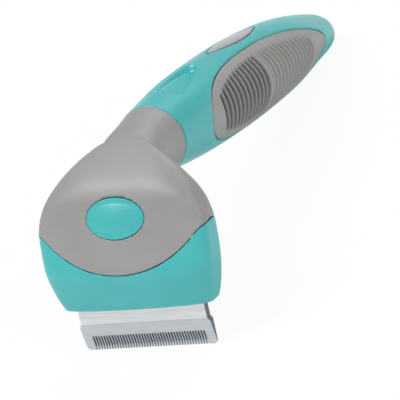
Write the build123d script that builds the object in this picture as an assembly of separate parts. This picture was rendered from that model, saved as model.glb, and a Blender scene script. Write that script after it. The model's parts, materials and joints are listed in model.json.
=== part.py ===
from build123d import *
import os
from math import atan2, copysign, cos, degrees, pi, radians, sin, sqrt

# A rake-shaped deshedding tool: a fine steel comb in a release cartridge, a head with a push
# button, and a soft-gripped handle.  Millimetres.
# While it is modelled, X runs across the comb, Y back along the handle and Z away from the teeth,
# and the origin is on the blade's front face, where its bevel begins.  place_at_rest() then turns
# the whole tool until the tooth tips and the underside of the handle's tail touch the floor.

# ---- Blade ------------------------------------------------------------------------------------
BLADE_WIDTH = 50.0
BLADE_THICKNESS = 3.0
BLADE_TOP = 17.0             # height of the hidden upper edge above the bevel's start
BEVEL_HEIGHT = 10.8
EDGE_THICKNESS = 0.35        # of the tooth tips
SHOULDER = 0.8               # how much wider the toothed part is, on each side
SHOULDER_DROP = 1.2
TIP_CORNER_RADIUS = 1.6
SLOT_COUNT = 42
SLOT_PITCH = 1.067
SLOT_WIDTH = 0.5
SLOT_HEIGHT = 5.8

# ---- Clearances -------------------------------------------------------------------------------
RUNNING = 0.3                # between pieces that slide past each other
SEATED = 0.15                # between a piece and the pocket that it is glued or clipped into
SEAM = 0.4                   # the visible line between cartridge and head, and head and handle
SCREW_CLEARANCE = 0.15       # round a shank where it passes freely
THREAD_CLEARANCE = 0.04      # round a shank in its pilot hole

# ---- Screw proportions, all as multiples of the shank's radius ---------------------------------
SCREW_HEAD = 1.8             # radius of the head
SCREW_HEAD_HEIGHT = 1.0
SCREW_SOCKET = 0.8           # across the corners of the hexagon socket, from its middle
SCREW_SOCKET_DEPTH = 0.6
COUNTERBORE = 2.1            # radius of the hole that a head lies in
SCREW_SINK = 2.2             # how far below the outside a head's underside lies

# ---- Head and cartridge outer form ------------------------------------------------------------
# height, half width, front, widest line, back
HEAD_STATIONS = (
    (6.6, 26.8, -3.6, 2.5, 8.0),
    (9.0, 29.2, -5.8, 2.5, 9.8),
    (14.0, 31.2, -7.6, 2.5, 11.2),
    (21.0, 32.6, -9.0, 2.5, 12.2),
    (29.0, 33.3, -7.0, 2.6, 13.0),
    (37.0, 33.0, -4.8, 3.2, 13.4),
    (43.0, 31.2, -3.2, 4.6, 13.6),
    (48.0, 28.2, -1.6, 6.4, 13.9),
    (52.0, 24.6, 0.8, 8.2, 14.4),
    (56.0, 19.8, 4.9, 10.0, 15.4),
    (60.0, 13.6, 10.1, 12.6, 17.2),
    (63.0, 8.6, 14.6, 15.8, 19.6),
    (65.0, 4.6, 18.4, 19.2, 22.0),
)
HEAD_HOLLOW_TOP = 57.0
HEAD_SQUARENESS_X = 4.0      # exponents of the rounded-box cross-section
HEAD_SQUARENESS_Y = 2.2
HEAD_POINTS = 32
HEAD_WALL = 2.4
CARTRIDGE_WALL = 2.2
SEAM_RADIUS = 41.0           # the arc of the seam between the cover and the cartridge
SEAM_BOTTOM = 21.1
SEAM_ARC_HALF_WIDTH = 28.5
SEAM_EAR_HEIGHT = 36.0
SEAM_EAR_X = 35.0

# ---- Neck and handle --------------------------------------------------------------------------
COLLAR_Y = 38.0
COLLAR_Z = 54.6
# distance back, radius, centre height
NECK_STATIONS = (
    (8.0, 9.2, 47.5),
    (16.0, 10.7, 51.4),
    (24.0, 11.6, 53.8),
    (31.0, 12.2, 54.4),
    (COLLAR_Y, 13.0, COLLAR_Z),
)
HANDLE_DROOP = 0.06          # fall per millimetre at the collar
HANDLE_SAG = 0.00015         # extra fall with the square of the distance
HANDLE_LENGTH = 162.0
# share of the handle's length, radius
HANDLE_RADII = (
    (0.0, 13.0),
    (0.105, 14.6),
    (0.20, 15.6),
    (0.32, 16.1),
    (0.44, 16.1),
    (0.57, 15.6),
    (0.69, 14.3),
    (0.81, 12.2),
    (0.905, 10.2),
)
TAIL_CAP_LENGTH = 15.0
TAIL_CAP_STEPS = 4
HANDLE_WALL = 3.4
BULKHEAD = 4.0               # the sleeve's front wall, which the spine passes through

GRIP_DEPTH = 1.4
GRIP_CENTRE_Y = 118.5
GRIP_HALF_LENGTH = 57.0
GRIP_HALF_ANGLE = 60.0
GRIP_SQUARENESS = 2.4
GRIP_POINTS = 40
GROOVE_COUNT = 24
GROOVE_PITCH = 3.5
GROOVE_FIRST_Y = 72.0
GROOVE_WIDTH = 1.0
GROOVE_DEPTH = 0.7
GROOVE_MARGIN = 4.0          # left plain between a groove's end and the pad's outline
GROOVE_GAP_AFTER = 12        # the smooth band lies after this many grooves
GROOVE_GAP = 3.0

BADGE_START_Y = 94.5
BADGE_END_Y = 137.0
BADGE_HALF_WIDTH = 4.6
BADGE_DEPTH = 0.8

THUMB_START_Y = 53.0
THUMB_END_Y = 80.0
THUMB_HALF_WIDTH = 8.0
THUMB_DEPTH = 2.0

# ---- Spine, the load-carrying core that joins head and handle ---------------------------------
SPINE_RADIUS = 6.5
SPINE_BORE = 4.0
SPINE_START_Y = 22.0
SPINE_END_Y = 146.0
SPINE_SLOPE = -0.07
DISC_YS = (60.0, 100.0, 138.0)
DISC_THICKNESS = 5.0
DISC_CLEARANCE = 0.5         # leaves room for the droop across a disc's thickness
NECK_SCREW_YS = (27.0, 34.0)
NECK_SCREW_RADIUS = 1.3
HANDLE_SCREW_Y = DISC_YS[1]
HANDLE_SCREW_RADIUS = 1.2
HANDLE_SCREW_LENGTH = 6.0

# ---- Cartridge insides ------------------------------------------------------------------------
CARRIER_THICKNESS = 2.8
CARRIER_BOTTOM = 9.6
CARRIER_HALF_WIDTH = 24.0
TONGUE_HALF_WIDTH = 16.0
TONGUE_TOP = 34.0
CLAMP_THICKNESS = 2.2
CLAMP_HALF_WIDTH = 22.0
CLAMP_HEIGHT = 5.8
BLADE_SCREW_XS = (-14.0, 0.0, 14.0)
BLADE_SCREW_Z = 12.5
BLADE_SCREW_RADIUS = 1.4
RIB_XS = (-20.0, -8.0, 8.0, 20.0)
RIB_WIDTH = 2.0
CASE_SCREW_X = 27.5
CASE_SCREW_ZS = (13.0, 24.0)
CASE_SCREW_RADIUS = 1.0
CASE_BOSS_RADIUS = 1.9
CARTRIDGE_SPLIT_Y = BLADE_THICKNESS

# ---- Release mechanism ------------------------------------------------------------------------
BUTTON_Y = -3.8              # the middle of the button's face
BUTTON_Z = 40.8
BUTTON_TILT = 14.7           # how far the face leans back
BUTTON_HALF_WIDTH = 11.2
BUTTON_HALF_HEIGHT = 7.4
BUTTON_PROUD = 0.9
BUTTON_CROWN_RADIUS = 60.0
BUTTON_TRAVEL = 2.0
FLANGE_EDGE = 1.8            # of the button's retaining flange, beyond its cap
BUTTON_FLANGE_TOP = 2.9      # depth below the face
BUTTON_FLANGE = 0.9
STEM_RADIUS = 2.2
SPRING_SEAT_DEPTH = 7.6
SPRING_SEAT_THICKNESS = 1.2
SPRING_SEAT_HALF_HEIGHT = 4.0
SPRING_RADIUS = 3.5
SPRING_WIRE = 0.3
SPRING_TURNS = 3

LEAF_THICKNESS = 0.6
LEAF_HALF_WIDTH = 4.0
HOOK_REACH = 2.6
HOOK_BOTTOM = 30.2
CATCH_CLEARANCE = 0.2
CATCH_HEIGHT = 4.6
LEAF_SCREW_ZS = (48.5, 52.0)
LEAF_SCREW_RADIUS = 1.0

CHANNEL_WALL = 5.2
CHANNEL_BOTTOM = 22.0
CHANNEL_TOP = 36.0
LIP = 2.5
FRAME_TOP = 46.0
FRAME_PLATE = 1.5
FRAME_TAB_TOP = 54.0
FRAME_TAB_HALF_WIDTH = 8.0
FRAME_STEP_Z = 38.0          # above this the frame's sides are shallower
FRAME_UPPER_FRONT = 2.4
FRAME_WINDOW_HALF_WIDTH = 6.0
FRAME_SCREW_ZS = (30.0, 43.0)
FRAME_SCREW_RADIUS = 1.1
PILLAR_RADIUS = 2.4
ACCESS_RADIUS = 2.4

# ---- Places that follow from the sizes above ---------------------------------------------------
FAR = 60.0                                         # reaches past the whole head
HALF_BLADE = BLADE_WIDTH / 2
CARRIER_BACK = BLADE_THICKNESS + CARRIER_THICKNESS
CHANNEL_INNER = TONGUE_HALF_WIDTH + RUNNING
CHANNEL_OUTER = CHANNEL_INNER + CHANNEL_WALL
CHANNEL_FRONT = BLADE_THICKNESS - RUNNING - 1.7
LEAF_FRONT = CARRIER_BACK + RUNNING + 0.1
LEAF_BACK = LEAF_FRONT + LEAF_THICKNESS
FRAME_BACK = LEAF_BACK + FRAME_PLATE
FRAME_SCREW_X = (CHANNEL_INNER + CHANNEL_OUTER) / 2
HANDLE_START_Y = COLLAR_Y + SEAM
HANDLE_END_Y = HANDLE_START_Y + HANDLE_LENGTH
TIP_Z = -BEVEL_HEIGHT

# The button's own plane: its normal points out of the face, its y axis up along the face.
BUTTON_PLANE = Plane(
    origin=(0, BUTTON_Y, BUTTON_Z),
    x_dir=(1, 0, 0),
    z_dir=(0, -cos(radians(BUTTON_TILT)), sin(radians(BUTTON_TILT))),
)


def box(x0, x1, y0, y1, z0, z1):
    """A box between two corners."""
    block = Box(x1 - x0, y1 - y0, z1 - z0)
    return block.moved(Location(((x0 + x1) / 2, (y0 + y1) / 2, (z0 + z1) / 2)))


def rod_along_y(x, z, y0, y1, radius):
    """A cylinder along Y from y0 to y1."""
    plane = Plane(origin=(x, y0, z), x_dir=(1, 0, 0), z_dir=(0, copysign(1, y1 - y0), 0))
    return extrude(plane * Circle(radius), abs(y1 - y0))


def rod_along_x(y, z, x0, x1, radius):
    """A cylinder along X from x0 to x1."""
    plane = Plane(origin=(x0, y, z), x_dir=(0, 1, 0), z_dir=(copysign(1, x1 - x0), 0, 0))
    return extrude(plane * Circle(radius), abs(x1 - x0))


def rod_along_z(x, y, z0, z1, radius):
    """A cylinder along Z from z0 up to z1."""
    return extrude(Plane(origin=(x, y, z0)) * Circle(radius), z1 - z0)


def power(value, exponent):
    """A signed power, the building step of a superellipse."""
    return copysign(abs(value) ** exponent, value)


def blend(stations, at, column):
    """Linear interpolation of one column of a list of stations."""
    for low, high in zip(stations, stations[1:]):
        if at <= high[0]:
            share = (at - low[0]) / (high[0] - low[0])
            return low[column] + share * (high[column] - low[column])
    return stations[-1][column]


# ---- Outer forms -------------------------------------------------------------------------------
def head_section(height, half_width, front, widest, back):
    """One level of the head: a rounded box with a flatter front than back."""
    points = []
    for k in range(HEAD_POINTS):
        turn = 2 * pi * (k + 0.5) / HEAD_POINTS
        x = half_width * power(cos(turn), 2 / HEAD_SQUARENESS_X)
        depth = back - widest if sin(turn) > 0 else widest - front
        y = widest + depth * power(sin(turn), 2 / HEAD_SQUARENESS_Y)
        points.append((x, y, height))
    return make_face(Spline(*points, periodic=True))


def head_form(inset, top=FAR * 2):
    """The head and cartridge as one body, all its faces moved in by inset."""
    levels = []
    for height, half_width, front, widest, back in HEAD_STATIONS:
        if height > top:
            continue
        lifted = height + inset if height == HEAD_STATIONS[0][0] else height
        section = head_section(lifted, half_width - inset, front + inset, widest, back - inset)
        levels.append(section)
    return loft(levels)


def neck_form():
    """The neck: round sections that grow towards the collar."""
    rings = []
    for y, radius, height in NECK_STATIONS:
        plane = Plane(origin=(0, y, height), x_dir=(1, 0, 0), z_dir=(0, 1, 0))
        rings.append(plane * Circle(radius))
    return loft(rings)


def handle_centre(y):
    """Height of the handle's centre line, which droops towards the tail."""
    run = y - COLLAR_Y
    return COLLAR_Z - HANDLE_DROOP * run - HANDLE_SAG * run * run


def handle_radius(y):
    """Radius of the handle: through its stations, then an elliptical cap."""
    cap_start = HANDLE_END_Y - TAIL_CAP_LENGTH
    if y > cap_start:
        run = min(1.0, (y - cap_start) / TAIL_CAP_LENGTH)
        return HANDLE_RADII[-1][1] * sqrt(1 - run * run)
    return blend(HANDLE_RADII, (y - HANDLE_START_Y) / HANDLE_LENGTH, 1)


def handle_form(inset, start=HANDLE_START_Y, end=HANDLE_END_Y):
    """The handle as a stack of rings, its wall moved in by inset."""
    ys = [HANDLE_START_Y + share * HANDLE_LENGTH for share, _ in HANDLE_RADII]
    cap_start = HANDLE_END_Y - TAIL_CAP_LENGTH
    for k in range(1, TAIL_CAP_STEPS + 1):
        ys.append(cap_start + TAIL_CAP_LENGTH * sin(0.47 * pi * k / TAIL_CAP_STEPS))
    ys = [y for y in ys if y <= end and handle_radius(y) > inset + 1.0]
    ys[0] = max(ys[0], start)
    rings = []
    for y in ys:
        plane = Plane(origin=(0, y, handle_centre(y)), x_dir=(1, 0, 0), z_dir=(0, 1, 0))
        rings.append(plane * Circle(handle_radius(y) - inset))
    return loft(rings)


def below_seam(shift):
    """Everything below the seam, which is an arc that flattens at the ears, moved up by shift."""
    arc_centre_z = SEAM_BOTTOM + SEAM_RADIUS
    x1 = SEAM_ARC_HALF_WIDTH
    z1 = arc_centre_z - sqrt(SEAM_RADIUS ** 2 - x1 ** 2) + shift
    slope = atan2(x1, arc_centre_z + shift - z1)
    ear = SEAM_EAR_HEIGHT + shift
    arc = ThreePointArc((-x1, z1), (0, SEAM_BOTTOM + shift), (x1, z1))
    right = Spline((x1, z1), (SEAM_EAR_X, ear), tangents=((cos(slope), sin(slope)), (1, 0)))
    left = Spline((-SEAM_EAR_X, ear), (-x1, z1), tangents=((1, 0), (cos(slope), -sin(slope))))
    rim = Polyline((SEAM_EAR_X, ear), (FAR, ear), (FAR, -FAR), (-FAR, -FAR), (-FAR, ear),
                   (-SEAM_EAR_X, ear))
    face = make_face(arc + right + left + rim)
    plane = Plane(origin=(0, -FAR, 0), x_dir=(1, 0, 0), z_dir=(0, -1, 0))
    return extrude(plane * face, -2 * FAR)


# ---- Blade and what clamps it ------------------------------------------------------------------
def make_blade():
    """The comb blade: a flat land, a front bevel and a row of fine teeth."""
    body = box(-HALF_BLADE, HALF_BLADE, 0, BLADE_THICKNESS, -SHOULDER_DROP, BLADE_TOP)
    wide = HALF_BLADE + SHOULDER
    outline = Polyline(
        (-HALF_BLADE, 0),
        (HALF_BLADE, 0),
        (wide, -SHOULDER_DROP),
        (wide, TIP_Z),
        (-wide, TIP_Z),
        (-wide, -SHOULDER_DROP),
        (-HALF_BLADE, 0),
    )
    plane = Plane(origin=(0, 0, 0), x_dir=(1, 0, 0), z_dir=(0, -1, 0))
    lower = extrude(plane * make_face(outline), -BLADE_THICKNESS)
    corners = lower.edges().filter_by(Axis.Y).group_by(Axis.Z)[0]
    blade = body + fillet(corners, TIP_CORNER_RADIUS)
    bevel = Polyline(
        (0, 0),
        (BLADE_THICKNESS - EDGE_THICKNESS, TIP_Z),
        (BLADE_THICKNESS - EDGE_THICKNESS, TIP_Z - 1),
        (-1, TIP_Z - 1),
        (-1, 0),
        (0, 0),
    )
    side = Plane(origin=(-FAR, 0, 0), x_dir=(0, 1, 0), z_dir=(1, 0, 0))
    blade -= extrude(side * make_face(bevel), 2 * FAR)
    first = -SLOT_PITCH * (SLOT_COUNT - 1) / 2
    slots = []
    for k in range(SLOT_COUNT):
        x = first + k * SLOT_PITCH
        slots.append(box(x - SLOT_WIDTH / 2, x + SLOT_WIDTH / 2, -1, BLADE_THICKNESS + 1,
                         TIP_Z - 1, TIP_Z + SLOT_HEIGHT))
    blade -= slots
    for x in BLADE_SCREW_XS:
        blade -= rod_along_y(x, BLADE_SCREW_Z, -1, BLADE_THICKNESS + 1,
                             BLADE_SCREW_RADIUS + SCREW_CLEARANCE)
    return blade


def make_clamp_bar():
    """The steel bar that presses the blade against its carrier."""
    half = CLAMP_HEIGHT / 2
    bar = box(-CLAMP_HALF_WIDTH, CLAMP_HALF_WIDTH, -CLAMP_THICKNESS, 0,
              BLADE_SCREW_Z - half, BLADE_SCREW_Z + half)
    bar = fillet(bar.edges().filter_by(Axis.Y), half / 3)
    for x in BLADE_SCREW_XS:
        bar -= rod_along_y(x, BLADE_SCREW_Z, -CLAMP_THICKNESS - 1, 1,
                           BLADE_SCREW_RADIUS + SCREW_CLEARANCE)
    return bar


def make_carrier():
    """The carrier: the blade bolts to it, and its tongue slides up into the head."""
    foot = box(-CARRIER_HALF_WIDTH, CARRIER_HALF_WIDTH, BLADE_THICKNESS, CARRIER_BACK,
               CARRIER_BOTTOM, BLADE_TOP)
    tongue = box(-TONGUE_HALF_WIDTH, TONGUE_HALF_WIDTH, BLADE_THICKNESS, CARRIER_BACK,
                 BLADE_TOP, TONGUE_TOP)
    tongue = chamfer(tongue.edges().filter_by(Axis.Y).group_by(Axis.Z)[-1], LIP / 2)
    carrier = foot + tongue
    catch_top = HOOK_BOTTOM + LEAF_THICKNESS + CATCH_CLEARANCE
    half = LEAF_HALF_WIDTH + RUNNING
    carrier -= box(-half, half, 0, FAR, catch_top - CATCH_HEIGHT, catch_top)
    for x in BLADE_SCREW_XS:
        carrier -= rod_along_y(x, BLADE_SCREW_Z, 0, FAR, BLADE_SCREW_RADIUS + THREAD_CLEARANCE)
    return carrier


def cap_screw(x, z, head_y, tip_y, radius):
    """A round-headed screw along Y with a hexagon socket; head_y is under the head."""
    away = copysign(1.0, head_y - tip_y)
    head_top = head_y + away * radius * SCREW_HEAD_HEIGHT
    screw = rod_along_y(x, z, tip_y, head_y, radius)
    screw += rod_along_y(x, z, head_y, head_top, radius * SCREW_HEAD)
    plane = Plane(origin=(x, head_top, z), x_dir=(1, 0, 0), z_dir=(0, away, 0))
    socket = extrude(plane * RegularPolygon(radius * SCREW_SOCKET, 6), -radius * SCREW_SOCKET_DEPTH)
    return screw - socket


def make_blade_screws():
    """Three screws through bar, blade and carrier."""
    tip = CARRIER_BACK - 0.2
    return [cap_screw(x, BLADE_SCREW_Z, -CLAMP_THICKNESS, tip, BLADE_SCREW_RADIUS)
            for x in BLADE_SCREW_XS]


# ---- Cartridge case ----------------------------------------------------------------------------
def make_cartridge_halves():
    """The front and rear mouldings of the cartridge, with ribs, bosses and screw holes."""
    outer = head_form(0) & below_seam(-SEAM / 2)
    shell = outer - head_form(CARTRIDGE_WALL)
    bosses = []
    for side in (-1, 1):
        for z in CASE_SCREW_ZS:
            bosses.append(rod_along_y(side * CASE_SCREW_X, z, -FAR, FAR, CASE_BOSS_RADIUS))
    low = CARRIER_BOTTOM - 1.0
    ribs = []
    for x in RIB_XS:
        ribs.append(box(x - RIB_WIDTH / 2, x + RIB_WIDTH / 2, CARRIER_BACK, FAR, low, BLADE_TOP))
    for side in (-1, 1):
        x = side * (HALF_BLADE - RIB_WIDTH / 2)
        ribs.append(box(x - RIB_WIDTH / 2, x + RIB_WIDTH / 2, -FAR, 0, low, BLADE_TOP))
    case = shell + (outer & bosses) + (outer & ribs)
    gap = SEATED
    slot = box(-HALF_BLADE - gap, HALF_BLADE + gap, -gap, BLADE_THICKNESS + gap, -FAR, CARRIER_BOTTOM)
    case -= slot
    for side in (-1, 1):
        for z in CASE_SCREW_ZS:
            x = side * CASE_SCREW_X
            head_y = case_screw_head(z)
            case -= rod_along_y(x, z, head_y, FAR, CASE_SCREW_RADIUS * COUNTERBORE)
            case -= rod_along_y(x, z, CARTRIDGE_SPLIT_Y, head_y + 1,
                                CASE_SCREW_RADIUS + SCREW_CLEARANCE)
            case -= rod_along_y(x, z, case_screw_tip(z) - 0.3, CARTRIDGE_SPLIT_Y + 1,
                                CASE_SCREW_RADIUS + THREAD_CLEARANCE)
    front = case & box(-FAR, FAR, -FAR, CARTRIDGE_SPLIT_Y, -FAR, FAR)
    rear = case & box(-FAR, FAR, CARTRIDGE_SPLIT_Y, FAR, -FAR, FAR)
    return front, rear


def head_depth(x, z, column, inset=0.0):
    """Y of the head's front (column 2) or back (column 4) at a place on it."""
    half_width = blend(HEAD_STATIONS, z, 1) - inset
    widest = blend(HEAD_STATIONS, z, 3)
    sign = 1 if column == 4 else -1
    depth = abs(blend(HEAD_STATIONS, z, column) - widest) - inset
    share = (1 - (abs(x) / half_width) ** HEAD_SQUARENESS_X) ** (1 / HEAD_SQUARENESS_Y)
    return widest + sign * depth * share


def case_screw_head(z):
    """Y under the head of a cartridge screw: sunk a little into the rear moulding."""
    return head_depth(CASE_SCREW_X, z, 4) - SCREW_SINK * CASE_SCREW_RADIUS


def case_screw_tip(z):
    """Y of the tip of a cartridge screw, short of the front moulding's outside."""
    return head_depth(CASE_SCREW_X, z, 2, CARTRIDGE_WALL) + 0.6


def make_cartridge_screws():
    """Four screws that hold the two cartridge halves together."""
    screws = []
    for side in (-1, 1):
        for z in CASE_SCREW_ZS:
            screws.append(cap_screw(side * CASE_SCREW_X, z, case_screw_head(z),
                                    case_screw_tip(z), CASE_SCREW_RADIUS))
    return screws


# ---- Head --------------------------------------------------------------------------------------
def make_head_shell():
    """The head moulding: cover, sides, back, neck and collar in one piece, open below."""
    shell = head_form(0) - below_seam(SEAM / 2)
    shell -= head_form(HEAD_WALL, HEAD_HOLLOW_TOP)
    neck = neck_form() - box(-FAR, FAR, -FAR, head_neck_front(), -FAR, FAR)
    shell += neck
    pillars = []
    for side in (-1, 1):
        for z in FRAME_SCREW_ZS:
            pillars.append(rod_along_y(side * FRAME_SCREW_X, z, -FAR, frame_front(z), PILLAR_RADIUS))
    shell += (head_form(0) - below_seam(SEAM)) & pillars
    for side in (-1, 1):
        for z in FRAME_SCREW_ZS:
            x = side * FRAME_SCREW_X
            shell -= rod_along_y(x, z, frame_screw_tip(z) - 0.3, FRAME_BACK,
                                 FRAME_SCREW_RADIUS + THREAD_CLEARANCE)
            shell -= rod_along_y(x, z, FRAME_BACK, FRAME_BACK + FAR / 2, ACCESS_RADIUS)
    opening = BUTTON_PLANE * Ellipse(BUTTON_HALF_WIDTH + RUNNING, BUTTON_HALF_HEIGHT + RUNNING)
    shell -= extrude(opening, -HEAD_WALL * 2) + extrude(opening, HEAD_WALL * 2)
    shell -= spine_rod(SPINE_RADIUS + SEATED, SPINE_START_Y - SEATED, COLLAR_Y + 1)
    for y in NECK_SCREW_YS:
        seat = neck_screw_seat(y)
        shell -= rod_along_z(0, y, seat, spine_height(y), NECK_SCREW_RADIUS + SCREW_CLEARANCE)
        shell -= rod_along_z(0, y, seat - FAR / 4, seat, NECK_SCREW_RADIUS * COUNTERBORE)
    return shell


def head_neck_front():
    """Y where the neck's material ends inside the head, behind the hollow."""
    return blend(HEAD_STATIONS, NECK_STATIONS[0][2], 4) - HEAD_WALL


def frame_front(z):
    """Y of the frame's front face, which its pillar ends on."""
    return CHANNEL_FRONT if z < FRAME_STEP_Z else FRAME_UPPER_FRONT


def frame_screw_tip(z):
    """Y of the tip of a frame screw, inside its pillar."""
    return head_depth(FRAME_SCREW_X, z, 2, HEAD_WALL) + 0.8


def make_frame():
    """The inner frame: two guide channels for the tongue, the spring's seat and the leaf's tab."""
    frame = None
    for side in (-1, 1):
        for part in (
            (CHANNEL_INNER, CHANNEL_OUTER, CHANNEL_FRONT, FRAME_BACK, CHANNEL_BOTTOM, FRAME_STEP_Z),
            (CHANNEL_INNER, CHANNEL_OUTER, FRAME_UPPER_FRONT, FRAME_BACK, FRAME_STEP_Z, FRAME_TOP),
            (CHANNEL_INNER - LIP, CHANNEL_INNER, CHANNEL_FRONT, BLADE_THICKNESS - RUNNING,
             CHANNEL_BOTTOM, CHANNEL_TOP),
            (CHANNEL_INNER - LIP, CHANNEL_INNER, CARRIER_BACK + RUNNING, FRAME_BACK,
             CHANNEL_BOTTOM, CHANNEL_TOP),
            (FRAME_WINDOW_HALF_WIDTH, CHANNEL_INNER, LEAF_BACK, FRAME_BACK, CHANNEL_TOP, FRAME_TOP),
        ):
            x0, x1 = sorted((side * part[0], side * part[1]))
            block = box(x0, x1, *part[2:])
            frame = block if frame is None else frame + block
    tab = FRAME_TAB_HALF_WIDTH
    frame += box(-tab, tab, LEAF_BACK, FRAME_BACK, FRAME_TOP - FRAME_PLATE * 2, FRAME_TAB_TOP)
    seat_face = BUTTON_PLANE * Rectangle(2 * CHANNEL_INNER + 1, 2 * SPRING_SEAT_HALF_HEIGHT)
    seat = extrude(seat_face, -SPRING_SEAT_DEPTH - SPRING_SEAT_THICKNESS)
    seat -= extrude(seat_face, -SPRING_SEAT_DEPTH)
    seat -= extrude(BUTTON_PLANE * Circle(STEM_RADIUS + RUNNING), -FAR)
    frame += seat
    for side in (-1, 1):
        for z in FRAME_SCREW_ZS:
            frame -= rod_along_y(side * FRAME_SCREW_X, z, -FAR, FAR,
                                 FRAME_SCREW_RADIUS + SCREW_CLEARANCE)
    for z in LEAF_SCREW_ZS:
        frame -= rod_along_y(0, z, -FAR, FAR, LEAF_SCREW_RADIUS + THREAD_CLEARANCE)
    return frame


def make_frame_screws():
    """Four screws that hold the frame on its pillars, driven from the back."""
    screws = []
    for side in (-1, 1):
        for z in FRAME_SCREW_ZS:
            screws.append(cap_screw(side * FRAME_SCREW_X, z, FRAME_BACK, frame_screw_tip(z),
                                    FRAME_SCREW_RADIUS))
    return screws


def make_latch_leaf():
    """The latch: a spring-steel leaf whose bent end hooks into the tongue's catch."""
    half = LEAF_HALF_WIDTH
    top = FRAME_TAB_TOP - 0.5
    leaf = box(-half, half, LEAF_FRONT, LEAF_BACK, HOOK_BOTTOM, top)
    leaf += box(-half, half, LEAF_FRONT - HOOK_REACH, LEAF_BACK, HOOK_BOTTOM,
                HOOK_BOTTOM + LEAF_THICKNESS)
    for z in LEAF_SCREW_ZS:
        leaf -= rod_along_y(0, z, -FAR, FAR, LEAF_SCREW_RADIUS + SCREW_CLEARANCE)
    return leaf


def make_latch_screws():
    """Two small screws that hold the leaf on the frame's tab."""
    return [cap_screw(0, z, LEAF_FRONT, FRAME_BACK + 0.5, LEAF_SCREW_RADIUS) for z in LEAF_SCREW_ZS]


def make_button():
    """The oval push button: a crowned cap, a flange that keeps it in, and a stem."""
    cap_face = BUTTON_PLANE * Ellipse(BUTTON_HALF_WIDTH, BUTTON_HALF_HEIGHT)
    depth = BUTTON_FLANGE_TOP + BUTTON_FLANGE
    button = extrude(cap_face, -depth) + extrude(cap_face, BUTTON_PROUD + 1)
    crown = Sphere(BUTTON_CROWN_RADIUS)
    button &= BUTTON_PLANE * Pos(0, 0, BUTTON_PROUD - BUTTON_CROWN_RADIUS) * crown
    flange_face = BUTTON_PLANE * Ellipse(BUTTON_HALF_WIDTH + FLANGE_EDGE,
                                         BUTTON_HALF_HEIGHT + FLANGE_EDGE)
    button += extrude(flange_face, -depth) - extrude(flange_face, -BUTTON_FLANGE_TOP)
    button += extrude(BUTTON_PLANE * Circle(STEM_RADIUS), -stem_reach())
    return button


def stem_reach():
    """Depth of the stem's tip below the button's face: just short of the leaf."""
    tilt = radians(BUTTON_TILT)
    return (LEAF_FRONT - RUNNING - BUTTON_Y - STEM_RADIUS * sin(tilt)) / cos(tilt)


def make_button_spring():
    """The return spring: an open coil between the button's flange and its seat."""
    start = BUTTON_FLANGE_TOP + BUTTON_FLANGE + SPRING_WIRE
    length = SPRING_SEAT_DEPTH - start - SPRING_WIRE
    helix = Helix(pitch=length / SPRING_TURNS, height=length, radius=SPRING_RADIUS)
    section = Plane(origin=helix @ 0, z_dir=helix % 0) * Circle(SPRING_WIRE)
    coil = sweep(section, path=helix)
    return BUTTON_PLANE * Pos(0, 0, -start - length) * coil


# ---- Handle ------------------------------------------------------------------------------------
def spine_height(y):
    """Height of the spine's axis."""
    return COLLAR_Z + SPINE_SLOPE * (y - COLLAR_Y)


def spine_rod(radius, y0, y1):
    """A rod along the spine's sloping axis."""
    start = Vector(0, y0, spine_height(y0))
    along = Vector(0, y1, spine_height(y1)) - start
    plane = Plane(origin=start, x_dir=(1, 0, 0), z_dir=along)
    return extrude(plane * Circle(radius), along.length)


def neck_screw_seat(y):
    """Height under the head of a neck screw, sunk into the neck's underside."""
    bottom = blend(NECK_STATIONS, y, 2) - blend(NECK_STATIONS, y, 1)
    return bottom + SCREW_SINK * NECK_SCREW_RADIUS


def make_spine():
    """The spine: a tube with three discs that carry the handle sleeve."""
    spine = spine_rod(SPINE_RADIUS, SPINE_START_Y, SPINE_END_Y)
    half = DISC_THICKNESS / 2
    for y in DISC_YS:
        radius = min(handle_radius(y - half), handle_radius(y + half)) - HANDLE_WALL - DISC_CLEARANCE
        spine += rod_along_y(0, handle_centre(y), y - half, y + half, radius)
    spine -= spine_rod(SPINE_BORE, SPINE_START_Y - 1, SPINE_END_Y + 1)
    for y in NECK_SCREW_YS:
        spine -= rod_along_z(0, y, 0, spine_height(y), NECK_SCREW_RADIUS + THREAD_CLEARANCE)
    for side in (-1, 1):
        spine -= rod_along_x(HANDLE_SCREW_Y, handle_centre(HANDLE_SCREW_Y), 0, side * FAR,
                             HANDLE_SCREW_RADIUS + THREAD_CLEARANCE)
    return spine


def turned_screw(centre, direction, length, radius):
    """A screw whose shank starts under its head at centre and runs along direction."""
    screw = cap_screw(0, 0, 0, -length, radius)
    target = Plane(origin=centre, z_dir=direction)
    return target * Rot(-90, 0, 0) * screw


def make_neck_screws():
    """Two screws up through the neck into the spine."""
    screws = []
    for y in NECK_SCREW_YS:
        seat = neck_screw_seat(y)
        length = spine_height(y) - SPINE_BORE + 1.0 - seat
        screws.append(turned_screw((0, y, seat), (0, 0, 1), length, NECK_SCREW_RADIUS))
    return screws


def handle_screw_seat():
    """X under the head of a handle screw, below the floor of the grip's pocket."""
    return handle_radius(HANDLE_SCREW_Y) - GRIP_DEPTH - SEATED - 1.15 * HANDLE_SCREW_RADIUS


def make_handle_screws():
    """Two screws, one a side, that hold the sleeve on the spine's middle disc."""
    screws = []
    for side in (-1, 1):
        centre = (side * handle_screw_seat(), HANDLE_SCREW_Y, handle_centre(HANDLE_SCREW_Y))
        screws.append(turned_screw(centre, (-side, 0, 0), HANDLE_SCREW_LENGTH,
                                   HANDLE_SCREW_RADIUS))
    return screws


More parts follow.
